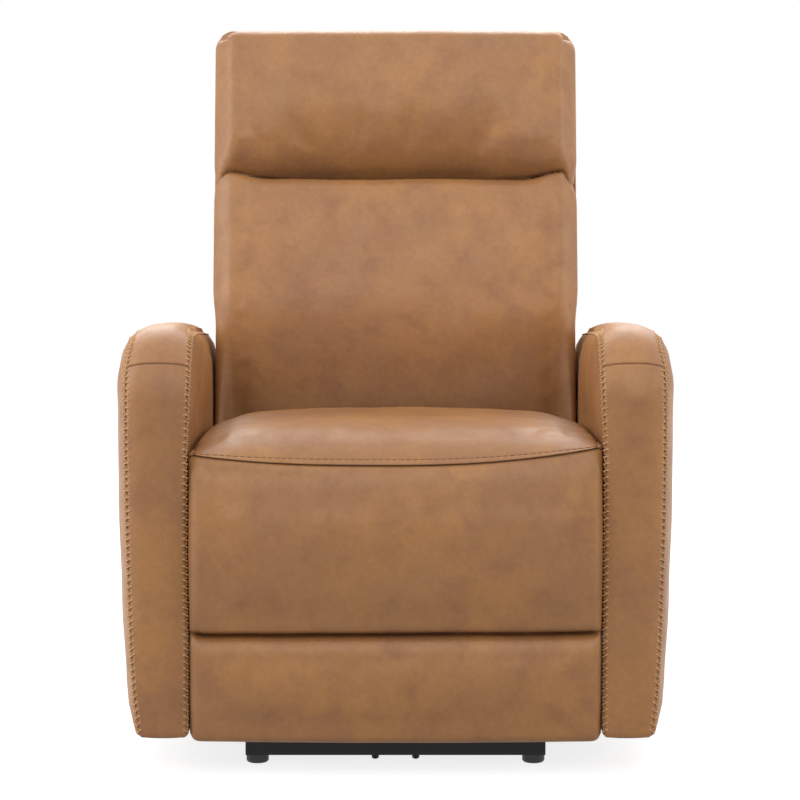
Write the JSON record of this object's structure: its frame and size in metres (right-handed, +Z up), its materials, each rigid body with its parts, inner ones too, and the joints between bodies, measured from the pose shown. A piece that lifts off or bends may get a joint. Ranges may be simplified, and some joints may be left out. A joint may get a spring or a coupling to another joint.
{
  "type": "wall hugger recliner",
  "caption": "Leather recliner whose seat and arms roll forward on a steel floor base as the back goes down; a padded leg rest swings up at the front.",
  "frame": {"origin": "on the floor, under the middle of the chair's overall box at rest", "axes": "+X to the right as one faces the chair, +Y to its back, +Z up; the chair faces -Y"},
  "size_m": [0.7685, 0.8855, 1.0318],
  "materials": {
    "tan_leather": "mottled tan pull-up leather, semi-matt",
    "plywood": "sawn plywood",
    "beech": "planed hardwood",
    "black_steel": "black powder coat, satin",
    "zinc_steel": "zinc plated",
    "black_plastic": "moulded, fine texture",
    "white_nylon": "natural nylon",
    "black_webbing": "woven elastic webbing"
  },
  "bodies": {
    "base": {"base_front_tube": "black_steel", "base_rear_tube": "black_steel", "floor_glides": "black_plastic", "motor_bracket": "black_steel", "motor_bracket_bolts": "zinc_steel", "recline_motor": "black_plastic", "recline_track": "zinc_steel", "recline_screw": "zinc_steel", "track_stand": "black_steel", "base_channel_right": "black_steel", "base_channel_left": "black_steel"},
    "carriage": {"arm_cover_right": "tan_leather", "arm_cover_left": "tan_leather", "arm_frame_right": "plywood", "arm_frame_left": "plywood", "arm_bolts": "zinc_steel", "switch_box": "black_plastic", "seat_cushion": "tan_leather", "seat_box_rails": "plywood", "seat_box_side_right": "plywood", "seat_box_side_left": "plywood", "seat_springs": "zinc_steel", "side_plate_right": "black_steel", "side_plate_left": "black_steel", "carriage_tube_front": "black_steel", "carriage_tube_rear": "black_steel", "roller_hangers": "black_steel", "rest_drive_track": "zinc_steel", "rest_drive_motor": "black_plastic", "rest_drive_hanger": "black_steel"},
    "back": {"back_cushion": "tan_leather", "head_cushion": "tan_leather", "outer_back": "tan_leather", "back_rails": "beech", "back_webbing": "black_webbing", "back_drive_bar": "black_steel", "back_stile_right": "beech", "back_stile_left": "beech", "back_bracket_right": "black_steel", "back_bracket_left": "black_steel"},
    "leg_rest": {"leg_rest_board": "plywood", "leg_rest_pad_upper": "tan_leather", "leg_rest_pad_lower": "tan_leather", "rest_bracket_right": "black_steel", "rest_bracket_left": "black_steel"},
    "front_links": {"front_link_right": "black_steel", "front_link_left": "black_steel"},
    "rear_links": {"rear_link_right": "black_steel", "rear_link_left": "black_steel", "torque_tube": "black_steel"},
    "upper_straps": {"upper_strap_right": "black_steel", "upper_strap_left": "black_steel"},
    "lower_straps": {"lower_strap_right": "black_steel", "lower_strap_left": "black_steel"},
    "rest_pusher": {"rest_pusher": "white_nylon"},
    "recline_slider": {"recline_slider": "white_nylon"},
    "front_rollers": {"rollers_front": "white_nylon"},
    "rear_rollers": {"rollers_rear": "white_nylon"},
    "recline_button": {"button_recline": "black_plastic"},
    "return_button": {"button_return": "black_plastic"}
  },
  "joints": [
    {"name": "wall_slide", "type": "slide", "parent": "base", "child": "carriage", "axis": [0, -1, 0], "range_m": [0, 0.2]},
    {"name": "back_recline", "type": "hinge", "parent": "carriage", "child": "back", "pos_m": [0, 0.16451, 0.3], "axis": [-1, 0, 0], "range_deg": [0, 32]},
    {"name": "recline_slider_travel", "type": "slide", "parent": "base", "child": "recline_slider", "axis": [0, -1, 0], "range_m": [0, 0.2666]},
    {"name": "leg_rest_swing", "type": "hinge", "parent": "carriage", "child": "leg_rest", "pos_m": [0, -0.42549, 0.412], "axis": [-1, 0, 0], "range_deg": [0, 90]},
    {"name": "front_link_swing", "type": "hinge", "parent": "carriage", "child": "front_links", "pos_m": [0, -0.27549, 0.302], "axis": [-1, 0, 0], "range_deg": [0, 90]},
    {"name": "rear_link_swing", "type": "hinge", "parent": "carriage", "child": "rear_links", "pos_m": [0, -0.12549, 0.302], "axis": [-1, 0, 0], "range_deg": [0, 90]},
    {"name": "upper_strap_pivot", "type": "hinge", "parent": "rear_links", "child": "upper_straps", "pos_m": [0, -0.05049, 0.217], "axis": [-1, 0, 0], "range_deg": [-90, 0]},
    {"name": "lower_strap_pivot", "type": "hinge", "parent": "front_links", "child": "lower_straps", "pos_m": [0, -0.20049, 0.137], "axis": [-1, 0, 0], "range_deg": [-90, 0]},
    {"name": "rest_pusher_travel", "type": "slide", "parent": "carriage", "child": "rest_pusher", "axis": [0, -1, 0], "range_m": [0, 0.0902]},
    {"name": "front_roller_spin", "type": "hinge", "parent": "carriage", "child": "front_rollers", "pos_m": [0, -0.10549, 0.047], "axis": [1, 0, 0], "range_deg": [0, 981]},
    {"name": "rear_roller_spin", "type": "hinge", "parent": "carriage", "child": "rear_rollers", "pos_m": [0, 0.15451, 0.047], "axis": [1, 0, 0], "range_deg": [0, 981]},
    {"name": "recline_button_press", "type": "slide", "parent": "carriage", "child": "recline_button", "axis": [1, 0, 0], "range_m": [0, 0.0015], "stiffness_N_per_m": 400},
    {"name": "return_button_press", "type": "slide", "parent": "carriage", "child": "return_button", "axis": [1, 0, 0], "range_m": [0, 0.0015], "stiffness_N_per_m": 400}
  ],
  "couplings": [
    {"joint": "back_recline", "follows": "wall_slide", "rad_per_m": 2.7925},
    {"joint": "recline_slider_travel", "follows": "wall_slide", "ratio": 1.3326},
    {"joint": "front_roller_spin", "follows": "wall_slide", "rad_per_m": 85.47},
    {"joint": "rear_roller_spin", "follows": "wall_slide", "rad_per_m": 85.47},
    {"joint": "front_link_swing", "follows": "leg_rest_swing", "ratio": 1},
    {"joint": "rear_link_swing", "follows": "leg_rest_swing", "ratio": 1},
    {"joint": "upper_strap_pivot", "follows": "leg_rest_swing", "ratio": -1},
    {"joint": "lower_strap_pivot", "follows": "leg_rest_swing", "ratio": -1},
    {"joint": "rest_pusher_travel", "follows": "leg_rest_swing", "m_per_rad": 0.05735}
  ]
}
